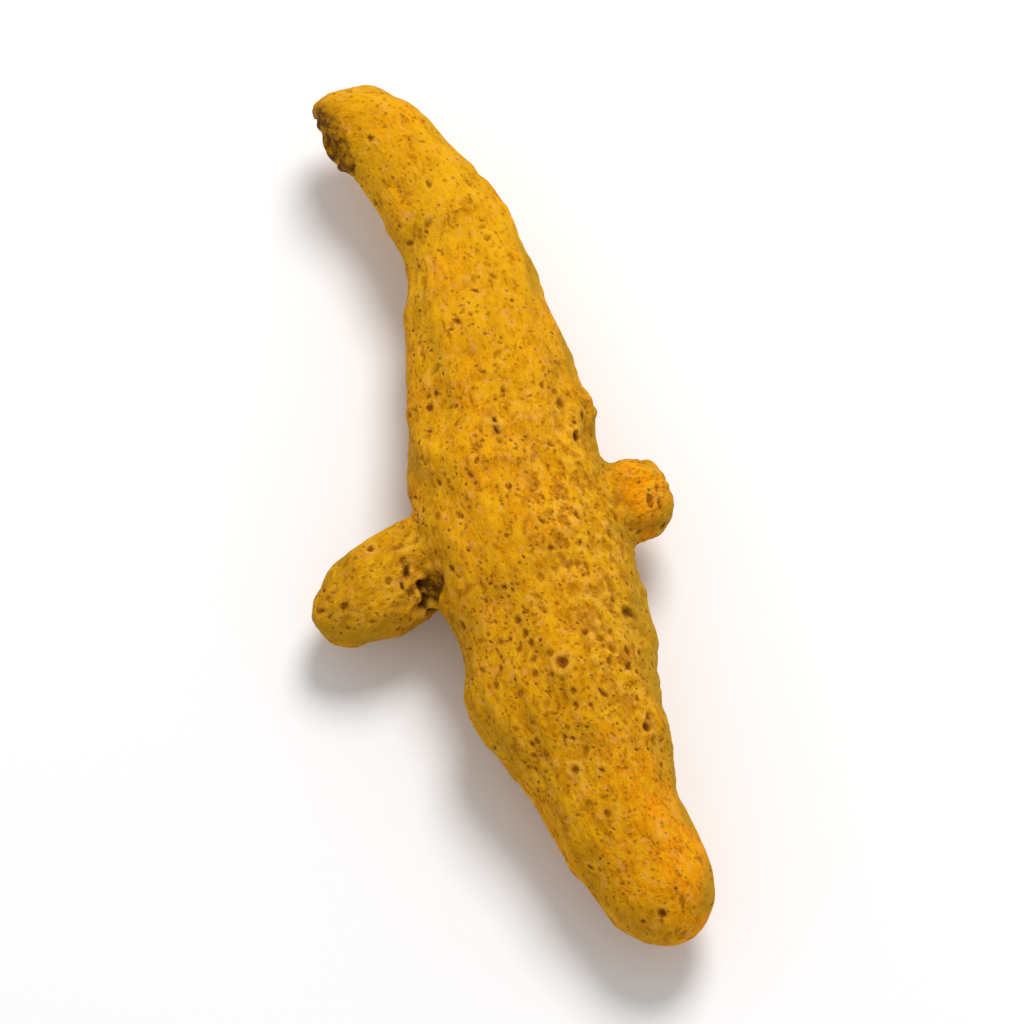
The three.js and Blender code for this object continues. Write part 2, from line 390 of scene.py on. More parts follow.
class Mark(Enum):
    """What the skin's points carry for the finish."""

    YELLOW = "yellow"
    WARM = "warm"
    # Dull green-brown skin, together with painted shade on the flanks.
    OLIVE = "olive"
    ROUGH = "rough"
    CRUMBLY = "crumbly"
    # Painted shade in the hollows of the fine relief.
    LOW = "low"
    RIM = "rim"
    HOLE = "hole"
    # The torn neck, and painted shade in the creases round the branch and the bud.
    SCAR = "scar"
    # Painted shade inside crevices and the larger pores and slits.
    DEEP = "deep"
    GRAIN = "grain"


@dataclass(frozen=True)
class Look:
    """How a pattern looks: the width of its lumps in millimetres, its finer layers and its warp."""

    size: float
    detail: float = 2.0
    roughness: float = 0.6
    warp: float = 0.0
    follows_limbs: bool = False


class Pattern(Enum):
    """The patterns of the finish."""

    MOTTLE = Look(5.0, 3.0)
    STREAK = Look(1.3, 4.0, 0.65, follows_limbs=True)
    CLOT = Look(0.8, 3.0, 0.7, 0.3, follows_limbs=True)
    SPECKLE = Look(0.26, follows_limbs=True)
    FLECK = Look(0.75, warp=0.15)
    CRUMB = Look(0.85, warp=0.4)
    STAIN = Look(1.15, roughness=0.55, warp=0.2)
    DUST = Look(0.12)
    TATTER = Look(0.9, 4.0, 0.7)
    FAINT = Look(1.3, 1.0, 0.5)
    JAG = Look(0.3, roughness=0.5)


@dataclass
class Graph:
    """A material's node tree, put together by short calls that return output sockets."""

    tree: bpy.types.NodeTree
    place: Socket = field(init=False)
    shared: dict[Mark | Pattern, Socket] = field(default_factory=dict)

    def __post_init__(self) -> None:
        """Adds the coordinates of the piece."""
        self.place = self.add("ShaderNodeTexCoord", {}).outputs["Object"]

    def add(self, kind: str, inputs: dict[str | int, object], **settings: object) -> bpy.types.Node:
        """Adds a node.

        Args:
            kind: Type name of the node.
            inputs: Values or output sockets for its inputs, by name or number.
            **settings: Properties of the node.

        Returns:
            The new node.
        """
        node = self.tree.nodes.new(kind)
        for name, value in settings.items():
            setattr(node, name, value)
        for key, value in inputs.items():
            if isinstance(value, Socket):
                self.tree.links.new(value, node.inputs[key])
            else:
                node.inputs[key].default_value = value
        return node

    def read(self, source: Mark | Pattern) -> Socket:
        """Gives a mark or a pattern, from one node for all who use it.

        Args:
            source: The mark or the pattern.

        Returns:
            Its values.
        """
        if source not in self.shared:
            self.shared[source] = self.mark(source) if isinstance(source, Mark) else self.pattern(source)
        return self.shared[source]

    def mark(self, mark: Mark) -> Socket:
        """Reads a mark of the skin's points."""
        node = self.add("ShaderNodeAttribute", {}, attribute_name=mark.value)
        return node.outputs["Vector" if mark is Mark.GRAIN else "Fac"]

    def pattern(self, pattern: Pattern) -> Socket:
        """Adds the noise of a pattern, with values from 0 to 1."""
        look = pattern.value
        return self.add("ShaderNodeTexNoise", {
            "Vector": self.read(Mark.GRAIN) if look.follows_limbs else self.place,
            "Scale": 1.0 / (look.size * MM),
            "Detail": look.detail,
            "Roughness": look.roughness,
            "Distortion": look.warp,
        }).outputs["Fac"]

    def ease(self, value: Socket, edge: Range, top: float = 1.0) -> Socket:
        """Eases a value from 0 at the edge's start to top at its end."""
        inputs = {"Value": value, "From Min": edge[0], "From Max": edge[1], "To Max": top}
        return self.add("ShaderNodeMapRange", inputs, interpolation_type="SMOOTHSTEP").outputs["Result"]

    def scale(self, value: Socket, source: Range, target: Range) -> Socket:
        """Scales a value from one range to another, without going past its ends."""
        inputs = {"Value": value, "From Min": source[0], "From Max": source[1]}
        inputs |= {"To Min": target[0], "To Max": target[1]}
        return self.add("ShaderNodeMapRange", inputs).outputs["Result"]

    def calculate(self, operation: str, a: object, b: object) -> Socket:
        """Adds, subtracts or multiplies two values, as the operation says."""
        return self.add("ShaderNodeMath", {0: a, 1: b}, operation=operation).outputs[0]

    def mix(self, share: object, under: object, over: Tone) -> Socket:
        """Lays a tone over a colour.

        Args:
            share: How much of the tone shows.
            under: The colour below, as a socket or a tone.
            over: The tone.

        Returns:
            The mixed colour.
        """
        base = (*under.value, 1.0) if isinstance(under, Tone) else under
        inputs = {0: share, 6: base, 7: (*over.value, 1.0)}
        return self.add("ShaderNodeMix", inputs, data_type="RGBA").outputs[2]

    def bump(self, height: Socket, depth: float, below: Socket | None = None) -> Socket:
        """Adds fine relief.

        Args:
            height: Height of the relief, from 0 to 1.
            depth: Real depth of it in millimetres.
            below: Normal to build on.

        Returns:
            The new normal.
        """
        inputs = {"Height": height, "Distance": depth * MM, "Strength": 1.0}
        if below is not None:
            inputs["Normal"] = below
        return self.add("ShaderNodeBump", inputs).outputs["Normal"]


@dataclass(frozen=True)
class Coat:
    """A coat of colour, laid where a pattern passes over its edge, where a mark is, or where both are."""

    tone: Tone
    share: float
    pattern: Pattern | None = None
    edge: Range = (0.0, 1.0)
    mark: Mark | None = None

    def cover(self, graph: Graph) -> Socket:
        """Works out where the coat shows.

        Args:
            graph: Tree to build in.

        Returns:
            How much of the coat shows, from 0 to 1.
        """
        if self.pattern is None:
            return graph.calculate("MULTIPLY", graph.read(self.mark), self.share)
        share = graph.ease(graph.read(self.pattern), self.edge, self.share)
        return share if self.mark is None else graph.calculate("MULTIPLY", share, graph.read(self.mark))


@dataclass(frozen=True)
class TurmericFinish:
    """Dry, matte, powdery skin: golden ochre with pale powder, orange tips and brown pores."""

    ground: Tone = Tone.GOLD
    coats: tuple[Coat, ...] = (
        Coat(Tone.OCHRE, 0.4, Pattern.MOTTLE, (0.36, 0.66)),
        Coat(Tone.POWDER, 1.0, mark=Mark.YELLOW),
        Coat(Tone.ORANGE, 1.0, mark=Mark.WARM),
        Coat(Tone.OCHRE, 0.65, Pattern.STREAK, (0.50, 0.68), Mark.ROUGH),
        Coat(Tone.POWDER, 0.55, Pattern.STREAK, (0.50, 0.32)),
        Coat(Tone.POWDER, 0.75, Pattern.CLOT, (0.52, 0.66), Mark.ROUGH),
        Coat(Tone.OCHRE, 0.9, Pattern.CLOT, (0.48, 0.36), Mark.ROUGH),
        Coat(Tone.UMBER, 0.8, Pattern.CLOT, (0.42, 0.30), Mark.ROUGH),
        Coat(Tone.POWDER, 0.5, Pattern.SPECKLE, (0.55, 0.68), Mark.ROUGH),
        Coat(Tone.UMBER, 0.5, Pattern.SPECKLE, (0.44, 0.31), Mark.ROUGH),
        Coat(Tone.PINK, 0.6, Pattern.FLECK, (0.55, 0.67)),
        Coat(Tone.RIM, 0.75, Pattern.CRUMB, (0.52, 0.62), Mark.CRUMBLY),
        Coat(Tone.UMBER, 0.8, Pattern.CRUMB, (0.46, 0.35), Mark.CRUMBLY),
        Coat(Tone.RUST, 0.7, Pattern.STAIN, (0.50, 0.60), Mark.CRUMBLY),
        Coat(Tone.POWDER, 0.5, Pattern.STAIN, (0.47, 0.36), Mark.CRUMBLY),
        # Olive for the dull skin and for the painted shade on the flanks.
        Coat(Tone.OLIVE, 0.75, mark=Mark.OLIVE),
        # Painted shade: umber in the hollows of the fine relief.
        Coat(Tone.UMBER, 0.6, mark=Mark.LOW),
        Coat(Tone.RIM, 0.75, mark=Mark.RIM),
    )
    # The torn neck's colour, also painted shade along the creases.
    torn_and_crease_shade: Coat = Coat(Tone.TORN, 1.0, Pattern.TATTER, (0.30, 0.62), Mark.SCAR)
    bumps: tuple[tuple[Pattern, float], ...] = (
        (Pattern.CLOT, 0.16),
        (Pattern.SPECKLE, 0.09),
        (Pattern.DUST, 0.02),
    )
    prick_size: float = 0.62
    prick_edge: Range = (0.27, 0.12)
    prick_share: float = 0.45
    prick_depth: float = 0.06
    hole_jag: float = 0.8
    hole_edge: Range = (1.30, 0.45)
    hole_share: float = 0.9
    faint_noise: Range = (0.35, 0.6)
    faint_share: float = 0.3
    roughness: float = 0.92
    specular: float = 0.06
    sheen: float = 0.02
    sheen_roughness: float = 0.6
    sheen_tint: Colour = (1.0, 0.72, 0.25)

    def material(self) -> bpy.types.Material:
        """Makes the material.

        Returns:
            The finished material.
        """
        material = bpy.data.materials.new("turmeric_skin")
        material.use_nodes = True
        material.node_tree.nodes.clear()
        graph = Graph(material.node_tree)
        prick = self.prick(graph)
        relief = None
        for pattern, depth in self.bumps:
            relief = graph.bump(graph.read(pattern), depth, relief)
        relief = graph.bump(graph.calculate("SUBTRACT", 1.0, prick), self.prick_depth, relief)
        shader = graph.add("ShaderNodeBsdfPrincipled", {
            "Base Color": self.colour(graph, prick),
            "Normal": relief,
            "Roughness": self.roughness,
            "Specular IOR Level": self.specular,
            "Sheen Weight": self.sheen,
            "Sheen Roughness": self.sheen_roughness,
            "Sheen Tint": (*self.sheen_tint, 1.0),
        })
        graph.add("ShaderNodeOutputMaterial", {"Surface": shader.outputs[0]})
        return material

    def colour(self, graph: Graph, prick: Socket) -> Socket:
        """Paints the skin.

        Args:
            graph: Tree to build in.
            prick: Where the pricks are.

        Returns:
            The colour of the skin.
        """
        colour = self.ground
        for coat in self.coats:
            colour = graph.mix(coat.cover(graph), colour, coat.tone)
        colour = graph.mix(graph.calculate("MULTIPLY", prick, self.prick_share), colour, Tone.UMBER)
        # The torn neck and the painted shade in the creases.
        colour = graph.mix(self.torn_and_crease_shade.cover(graph), colour, self.torn_and_crease_shade.tone)
        colour = graph.mix(self.hole_cover(graph), colour, Tone.PORE)
        # Painted shade in crevices and in the larger pores and slits.
        return graph.mix(graph.read(Mark.DEEP), colour, Tone.DEEP)

    def hole_cover(self, graph: Graph) -> Socket:
        """Darkens the holes out to a jagged edge, some of them only faintly.

        Args:
            graph: Tree to build in.

        Returns:
            How dark each point is, from 0 to 1.
        """
        jag = graph.scale(graph.read(Pattern.JAG), (0.0, 1.0), (-self.hole_jag, self.hole_jag))
        away = graph.calculate("ADD", graph.read(Mark.HOLE), jag)
        faint = graph.scale(graph.read(Pattern.FAINT), self.faint_noise, (self.faint_share, 1.0))
        return graph.calculate("MULTIPLY", graph.ease(away, self.hole_edge, self.hole_share), faint)

    def prick(self, graph: Graph) -> Socket:
        """Scatters pricks finer than the holes in the mesh: 1 inside a prick and 0 between them."""
        inputs = {"Vector": graph.place, "Scale": 1.0 / (self.prick_size * MM), "Randomness": 1.0}
        return graph.ease(graph.add("ShaderNodeTexVoronoi", inputs).outputs["Distance"], self.prick_edge)


@dataclass
class Skin:
    """The finger's skin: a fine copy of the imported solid, with its relief and colours.

    Fades run along the body unless their names say otherwise.
    """

    node: str = "rhizome"
    name: str = "turmeric_finger"
    slot: str = "rhizome_skin"
    limbs: tuple[Limb, ...] = (BODY, BRANCH, BUD)
    # The fine mesh and the coordinates that follow the limbs
    merge_reach: float = 0.01
    voxel: float = 0.42
    smoothing: int = 5
    smoothing_factor: float = 0.5
    grain_squeeze: float = 0.62
    joint_reach: float = 1.6
    # Lumps, crumbs and wrinkles
    swell_rise: float = 0.07
    lump_rise: float = 0.08
    grit_rise: float = 0.035
    crumb_rise: float = 0.15
    smooth_tip: Fade = Fade(55.0, 63.0, 1.0, 0.65)
    # Where the fine relief sinks, it gets painted shade.
    hollow_shade: Fade = Fade(-0.02, -0.16)
    wrinkle_rise: float = 0.16
    wrinkle_sharpness: float = 2.2
    wrinkle_patches: Fade = Fade(-0.2, 0.45)
    fibre_share: float = 0.35
    # Leaf rings
    ring_places: tuple[float, ...] = (13.0, 19.5, 26.0, 33.5, 42.0, 49.0, 55.0, 60.5)
    ring_depth: float = 0.05
    ring_width: float = 0.25
    ring_lip: float = 0.03
    ring_lip_place: float = 0.5
    ring_slant: float = 1.2
    ring_turn: float = 2.1
    ring_waver: float = 0.5
    # Creases at the roots of the branch and the bud
    crease_strengths: tuple[tuple[LimbName, float], ...] = ((LimbName.BRANCH, 1.0), (LimbName.BUD, 0.55))
    crease_depth: float = 0.45
    crease_place: float = 0.5
    crease_width: float = 0.9
    crease_tipward: Fade = Fade(-3.0, 0.5, 0.08)
    crease_breaks: Fade = Fade(-0.5, 0.15)
    # How deep a crease must be to get painted shade.
    crease_shade: Fade = Fade(0.30, 0.75)
    # The torn neck
    scar_face_radius: Fade = Fade(1.0, 0.84)
    scar_face: Fade = Fade(1.9, 1.2)
    scar_rim: Fade = Fade(1.0, 0.35)
    scar_rim_waver: float = 1.1
    scar_rise: float = 0.3
    scar_depth: float = 0.25
    # The folds at the bud's end
    fold_rise: float = 0.08
    fold_count: float = 7.0
    fold_waver: float = 4.0
    fold_end: Fade = Fade(-3.2, -1.2)
    fold_radius: Fade = Fade(0.2, 1.3)
    # The strewn pores
    seed: int = 7
    pore_count: int = 1000
    pore_tries: int = 13000
    pore_sizes: Range = (0.09, 0.27)
    pore_size_bias: float = 2.6
    pore_size_by_density: Range = (0.35, 0.8)
    pore_clearance: float = 1.8
    placed_clearance: float = 1.6
    slit_share: float = 0.4
    slit_turn: float = 120.0
    pores_upper: Fade = Fade(14.0, 32.0, 0.12, 0.52)
    pores_lower: Fade = Fade(38.0, 47.0, 0.0, 0.5)
    pores_tip: Fade = Fade(54.0, 62.0, 1.0, 0.12)
    pore_cluster: tuple[float, float, float] = (0.5, 49.0, 6.0)
    pore_cluster_y: Fade = Fade(2.0, 6.0)
    pores_branch: float = 0.5
    pores_bud: float = 0.2
    pores_fewer_y: Fade = Fade(0.0, -5.0, 0.0, 0.5)
    pore_patches: Fade = Fade(-0.3, 0.3, 0.25)
    # The shape of holes and crumbs, in their radii
    hole_none: float = 3.0
    spot_reach: float = 2.6
    bowl_radius: float = 1.15
    bowl_power: float = 1.5
    crumb_radius: float = 0.95
    lip_place: float = 1.5
    lip_width: float = 0.45
    lip_paleness: float = 2.2
    # Painted shade in crevices, and more faintly in the larger pores and slits.
    pit_shade: Fade = Fade(1.0, 0.35)
    pit_shade_share: float = 0.65
    pit_radius_mm: float = 0.3
    # Crumbly and yellow skin, and the crown of the belly beside the branch, which gets painted light
    crumbly_y: Fade = Fade(0.5, 4.5)
    crumbly_start: Fade = Fade(25.0, 31.0)
    crumbly_end: Fade = Fade(58.0, 52.0)
    crumbly_off_bud: Fade = Fade(-1.5, 0.5)
    crumbly_upper: Fade = Fade(32.0, 38.0, 0.65)
    crumbly_patches: Fade = Fade(-0.3, 0.3, 0.5)
    rough_upper: Fade = Fade(16.0, 34.0, 0.62)
    rough_tip: Fade = Fade(55.0, 62.0, 1.0, 0.85)
    rough_lit_crown: float = 0.4
    lit_crown_place: Place = (3.6, -1.2, 11.9)
    lit_crown_radius: float = 4.2
    yellow_end: Fade = Fade(30.0, 12.0, 0.0, 0.5)
    yellow_start: Fade = Fade(2.0, 5.0)
    # Painted light: powder yellow over the crown of the belly.
    yellow_lit_crown: float = 0.5
    # Orange skin
    warm_tip: Fade = Fade(54.0, 64.0)
    warm_tip_y: Fade = Fade(-1.0, 4.0, 0.15)
    warm_tip_patches: Fade = Fade(-0.3, 0.3, 0.75)
    warm_patches: Fade = Fade(0.05, 0.5, 0.0, 0.3)
    warm_bud_gap: Fade = Fade(0.3, 2.0)
    warm_bud: float = 0.85
    warm_lit_crown: float = 0.2
    warm_lost_bud: float = 0.6
    lost_bud_place: Place = (-5.2, 10.4, 8.1)
    lost_bud_radius: float = 1.3
    # Dull green-brown skin, and painted shade in the same tone on the steep flanks, most on the far flank
    olive_branch_end: Fade = Fade(-4.0, 0.0, 0.0, 0.6)
    olive_rim: Fade = Fade(2.6, 0.6, 0.0, 0.7)
    flank_shade_steepness: Fade = Fade(0.88, 0.25)
    far_flank_shade_facing: Fade = Fade(-0.2, 0.5)
    far_flank_shade_along: Fade = Fade(8.0, 26.0)
    flank_shade_shares: Range = (0.55, 1.15)
    olive_patches: Fade = Fade(-0.5, 0.4)
    olive_branch: float = 0.25
    # Painted shade on a spot at the edge of the far flank, tipward of the bud.
    edge_shade_share: float = 0.9
    edge_shade_place: Place = (12.6, 7.2, 9.4)
    edge_shade_radius: float = 2.6
    # The small flat spot under the belly stays flat
    relief_above_floor: Fade = Fade(0.0, 0.6)
    points: Array = field(init=False)
    normals: Array = field(init=False)
    places: dict[LimbName, LimbPlaces] = field(init=False)
    owner: Array = field(init=False)

    def build(self) -> bpy.types.Object:
        """Builds and dresses the skin.

        Returns:
            The finished piece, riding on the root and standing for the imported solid.
        """
        piece = self.copy_solid()
        self.refine(piece)
        self.read(piece)
        height, marks = self.relief()
        self.write(piece, height, marks)
        piece.data.materials.clear()
        piece.data.materials.append(TurmericFinish().material())
        bpy.ops.object.shade_smooth()
        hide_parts(self.node)
        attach(piece, "root")
        return piece

    def copy_solid(self) -> bpy.types.Object:
        """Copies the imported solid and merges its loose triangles.

        Returns:
            The copy, selected and active.
        """
        piece = bpy.data.objects.new(self.name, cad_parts[self.node].data.copy())
        bpy.context.scene.collection.objects.link(piece)
        bpy.ops.object.select_all(action="DESELECT")
        piece.select_set(True)
        bpy.context.view_layer.objects.active = piece
        bpy.ops.object.mode_set(mode="EDIT")
        bpy.ops.mesh.select_all(action="SELECT")
        bpy.ops.mesh.remove_doubles(threshold=self.merge_reach * MM)
        bpy.ops.object.mode_set(mode="OBJECT")
        return piece

    def refine(self, piece: bpy.types.Object) -> None:
        """Gives the copy an even, fine and smooth mesh.

        Args:
            piece: The copy, selected and active.
        """
        steps = (
            ("REMESH", {"mode": "VOXEL", "voxel_size": self.voxel * MM}),
            ("SMOOTH", {"factor": self.smoothing_factor, "iterations": self.smoothing}),
            ("SUBSURF", {"levels": 1, "render_levels": 1}),
        )
        for kind, settings in steps:
            bpy.ops.object.modifier_add(type=kind)
            modifier = piece.modifiers[-1]
            for name, value in settings.items():
                setattr(modifier, name, value)
            bpy.ops.object.modifier_apply(modifier=modifier.name)

    def read(self, piece: bpy.types.Object) -> None:
        """Measures the fine mesh: its points, its normals and their places on the limbs.

        Args:
            piece: The fine copy.
        """
        mesh = piece.data
        flat = np.empty(3 * len(mesh.vertices))
        mesh.vertices.foreach_get("co", flat)
        self.points = flat.reshape(-1, 3) / MM
        mesh.vertex_normals.foreach_get("vector", flat)
        self.normals = flat.reshape(-1, 3).copy()
        self.places = {limb.name: limb.measure(self.points) for limb in self.limbs}
        self.owner = np.array([places.gap for places in self.places.values()]).argmin(axis=0)

    @property
    def body(self) -> LimbPlaces:
        """Where the points lie on the body."""
        return self.places[LimbName.BODY]

    def on(self, name: LimbName) -> Array:
        """Tells which points belong to a limb, as 0 or 1."""
        return (self.owner == name.value).astype(float)

    def near(self, place: Place, radius: float, waver: float | Array = 0.0) -> Array:
        """Marks the points round a place, 1 there and about a third at the radius."""
        return bell(np.linalg.norm(self.points - place, axis=1) + waver, 0.0, radius)

    def tangents(self) -> Array:
        """Gives the direction of each point's limb at that point."""
        tangents = np.array([places.tangent for places in self.places.values()])
        return tangents[self.owner, np.arange(len(self.owner))]

    def grain(self) -> Array:
        """Straightens the limbs together.

        Returns:
            Coordinates that follow each limb and pass smoothly from the body to the side limbs.
        """
        grain = self.body.grain()
        for name in (LimbName.BRANCH, LimbName.BUD):
            side = self.places[name]
            own = side.grain()
            joint = np.abs(self.body.gap) + np.abs(side.gap) < self.joint_reach
            own += (grain - own)[joint].mean(axis=0)
            share = smoothstep(self.body.gap - side.gap, -self.joint_reach, self.joint_reach)[:, None]
            grain = grain * (1.0 - share) + own * share
        return grain

    def relief(self) -> tuple[Array, dict[Mark, Array]]:
        """Works out the skin's relief and where its colours go.

        Returns:
            The height of each point over the smooth form, and the marks for the finish.
        """
        grain = self.grain()
        crumbly = self.crumbly()
        fine = self.lump_rise * Waver.LUMPS.at(self.points)
        fine += self.grit_rise * Waver.GRIT.at(self.points)
        fine += self.wrinkles(grain)
        fine += self.crumb_rise * crumbly * Waver.CRUMBS.at(self.points)
        fine *= self.smooth_tip.at(self.body.along)
        fine += self.knots() + self.rings()
        height = fine + self.swell_rise * Waver.SWELLS.at(self.points)
        crease = self.creases()
        height -= self.crease_depth * crease
        scar = self.neck_scar()
        height += self.scar_rise * scar * Waver.SCAR_FACE.at(self.points) - self.scar_depth * scar
        height += self.bud_folds()
        hole, rim, deep, pit = self.spots()
        height += pit
        marks = {
            Mark.CRUMBLY: crumbly,
            Mark.HOLE: hole,
            # Painted shade in crevices and the larger pores and slits.
            Mark.RIM: rim,
            Mark.DEEP: deep,
            Mark.WARM: self.warm(),
            # Dull skin and painted shade on the flanks.
            Mark.OLIVE: self.olive(),
            # Painted shade in the hollows of the fine relief.
            Mark.LOW: self.hollow_shade.at(fine),
            Mark.ROUGH: self.rough(),
            # Yellower towards the neck, with painted light on the crown of the belly.
            Mark.YELLOW: self.yellow(),
            # The torn neck, and painted shade along the creases.
            Mark.SCAR: np.clip(scar + self.crease_shade.at(crease), 0.0, 1.0),
            Mark.GRAIN: grain * (self.grain_squeeze, 1.0, 1.0),
        }
        return height, marks

    def crumbly(self) -> Array:
        """Marks the crumbly skin, on the bud's side of the middle.

        Returns:
            How crumbly each point is, from 0 to 1.
        """
        body, bud = self.body, self.places[LimbName.BUD]
        side = self.crumbly_y.at(self.points[:, 1])
        side *= self.crumbly_start.at(body.along) * self.crumbly_end.at(body.along)
        side *= self.crumbly_off_bud.at(bud.gap - body.gap) * self.crumbly_upper.at(body.along)
        return side * self.crumbly_patches.at(Waver.CRUMBLY.at(self.points))

    def rough(self) -> Array:
        """Says how strong the finest mottling is: weaker at the neck, the tip and the crown of the belly,
        which gets painted light.
        """
        along = self.body.along
        return self.rough_upper.at(along) * self.rough_tip.at(along) * (1.0 - self.rough_lit_crown * self.lit_crown())

    def lit_crown(self) -> Array:
        """Marks the crown of the belly beside the branch, which is smoother and warmer and gets painted
        light.
        """
        return self.near(self.lit_crown_place, self.lit_crown_radius, Waver.WORN.at(self.points))

    def yellow(self) -> Array:
        """Marks the paler, yellower skin towards the neck, and the painted light on the crown of the belly.
        """
        along = self.body.along
        return self.yellow_end.at(along) * self.yellow_start.at(along) + self.yellow_lit_crown * self.lit_crown()

    def knots(self) -> Array:
        """Raises the crumpled swellings.

        Returns:
            Height of the swellings at each point.
        """
        height = np.zeros(len(self.points))
        crumple = Waver.CRUMPLES.at(self.points)
        for knot in KNOTS:
            away = np.linalg.norm(self.points - knot.place, axis=1) / knot.radius
            near = np.clip(1.0 - away**2, 0.0, 1.0)
            height += knot.rise * near**2 + knot.crumple * crumple * near
        return height

    def wrinkles(self, grain: Array) -> Array:
        """Raises fine lengthwise wrinkles that come and go.

        Args:
            grain: Coordinates that follow the limbs.

        Returns:
            Height of the wrinkles at each point.
        """
        ridge = 1.0 - self.wrinkle_sharpness * np.abs(Waver.WRINKLES.at(grain))
        patch = self.wrinkle_patches.at(Waver.WRINKLED.at(self.points))
        return self.wrinkle_rise * (ridge * patch + self.fibre_share * Waver.FIBRES.at(grain))

    def rings(self) -> Array:
        """Cuts a fine line along each leaf ring of the body and raises a lip beside it.

        Returns:
            Height of the rings at each point.
        """
        height = np.zeros(len(self.points))
        waver = self.ring_waver * Waver.RINGS.at(self.points)
        for i, place in enumerate(self.ring_places):
            slant = self.ring_slant * np.cos(self.body.angle + self.ring_turn * i)
            off = self.body.along - place - slant - waver
            height -= self.ring_depth * bell(off, 0.0, self.ring_width)
            height += self.ring_lip * bell(off, self.ring_lip_place, self.ring_width)
        return height * self.on(LimbName.BODY)

    def creases(self) -> Array:
        """Marks the creases where the branch and the bud leave the body, deepest on the tip's side.

        Returns:
            How deep the crease is at each point, from 0 to 1.
        """
        crease = np.zeros(len(self.points))
        broken = self.crease_breaks.at(Waver.CREASES.at(self.points))
        for name, strength in self.crease_strengths:
            side = self.places[name]
            apart = np.maximum(self.body.gap, 0.0) + np.maximum(side.gap, 0.0)
            tipward = self.crease_tipward.at(self.points[:, 0] - side.half.max())
            crease += strength * bell(apart, self.crease_place, self.crease_width) * tipward * broken
        return np.clip(crease, 0.0, 1.0)

    def neck_scar(self) -> Array:
        """Marks the torn face at the start of the body and its ragged rim.

        Returns:
            How torn each point is, from 0 to 1.
        """
        face = self.scar_face_radius.at(self.body.radius / self.body.half)
        face *= self.scar_face.at(self.body.along)
        rim = self.scar_rim.at(self.body.along + self.scar_rim_waver * Waver.SCAR_RIM.at(self.points))
        return np.maximum(face, rim) * self.on(LimbName.BODY)

    def bud_folds(self) -> Array:
        """Draws the end of the bud together in folds round its closed eye.

        Returns:
            Height of the folds at each point.
        """
        bud = self.places[LimbName.BUD]
        end = self.fold_end.at(bud.along - bud.length) * self.on(LimbName.BUD)
        folds = np.cos(self.fold_count * bud.angle + self.fold_waver * Waver.FOLDS.at(self.points))
        return self.fold_rise * end * folds * self.fold_radius.at(bud.radius)

    def density(self) -> Array:
        """Says how thickly pores stand: few at the neck and the tip, most on the body's lower half.

        Returns:
            The chance that a try at each point makes a pore.
        """
        along, y = self.body.along, self.points[:, 1]
        share = (self.pores_upper.at(along) + self.pores_lower.at(along)) * self.pores_tip.at(along)
        strength, middle, width = self.pore_cluster
        share += strength * bell(along, middle, width) * self.pore_cluster_y.at(y)
        share = np.where(self.owner == LimbName.BRANCH.value, self.pores_branch, share)
        share = np.where(self.owner == LimbName.BUD.value, self.pores_bud, share)
        share *= 1.0 - self.pores_fewer_y.at(y) * self.on(LimbName.BODY)
        return share * self.pore_patches.at(Waver.PORES.at(self.points))

    def scatter(self, placed: list[Spot]) -> list[Spot]:
        """Strews pores and slits over the skin.

        Args:
            placed: Spots to keep clear of.

        Returns:
            The strewn spots, none of them touching another.
        """
        random = np.random.default_rng(self.seed)
        density = self.density()
        small, large = self.pore_sizes
        least, gain = self.pore_size_by_density
        strewn: list[Spot] = []
        centres = np.array([spot.place for spot in placed])
        reaches = np.array([self.placed_clearance * spot.radius for spot in placed])
        for i in random.integers(0, len(self.points), self.pore_tries):
            chance, size, kind, turn = random.random(4)
            if chance > density[i] or len(strewn) >= self.pore_count:
                continue
            share = size**self.pore_size_bias * min(1.0, least + gain * density[i])
            radius = small + (large - small) * share
            reach = self.pore_clearance * radius
            centre = self.points[i]
            if (np.linalg.norm(centres - centre, axis=1) < reaches + reach).any():
                continue
            shape = SpotKind.PORE if kind > self.slit_share else SpotKind.SLIT
            strewn.append(Spot(shape, tuple(centre), radius, self.slit_turn * (turn - 0.5)))
            centres = np.vstack([centres, centre])
            reaches = np.append(reaches, reach)
        return strewn

    def spots(self) -> tuple[Array, Array, Array, Array]:
        """Sinks all holes into the skin and raises the crumbs.

        Returns:
            The distance to the nearest hole over its radius, the strength of rims and crumbs, the painted
            shade in crevices and in the larger pores and slits, and the height.
        """
        tree = point_tree(self.points)
        nearest = np.full(len(self.points), self.hole_none)
        pale, deep, height = (np.zeros(len(self.points)) for _ in range(3))
        tangents = self.tangents()
        placed = [Spot(kind, row[:3], *row[3:]) for kind, rows in PLACED_SPOTS.items() for row in rows]
        strewn = self.scatter(placed)
        for spot in (*placed, *strewn):
            stretch, depth, rim = spot.kind.value
            middle = tree.find(spot.place)[1]
            reach = self.spot_reach * spot.radius * stretch
            near = np.array([i for _, i, _ in tree.find_range(self.points[middle].tolist(), reach)])
            offset = self.points[near] - self.points[middle]
            away = spot.away(offset, self.normals[middle], tangents[middle])
            bowl = np.clip(1.0 - (away / self.bowl_radius) ** 2, 0.0, 1.0) ** self.bowl_power
            height[near] -= depth * spot.radius * bowl
            if spot.kind is SpotKind.CRUMB:
                pale[near] = np.maximum(pale[near], bell(away, 0.0, self.crumb_radius))
                continue
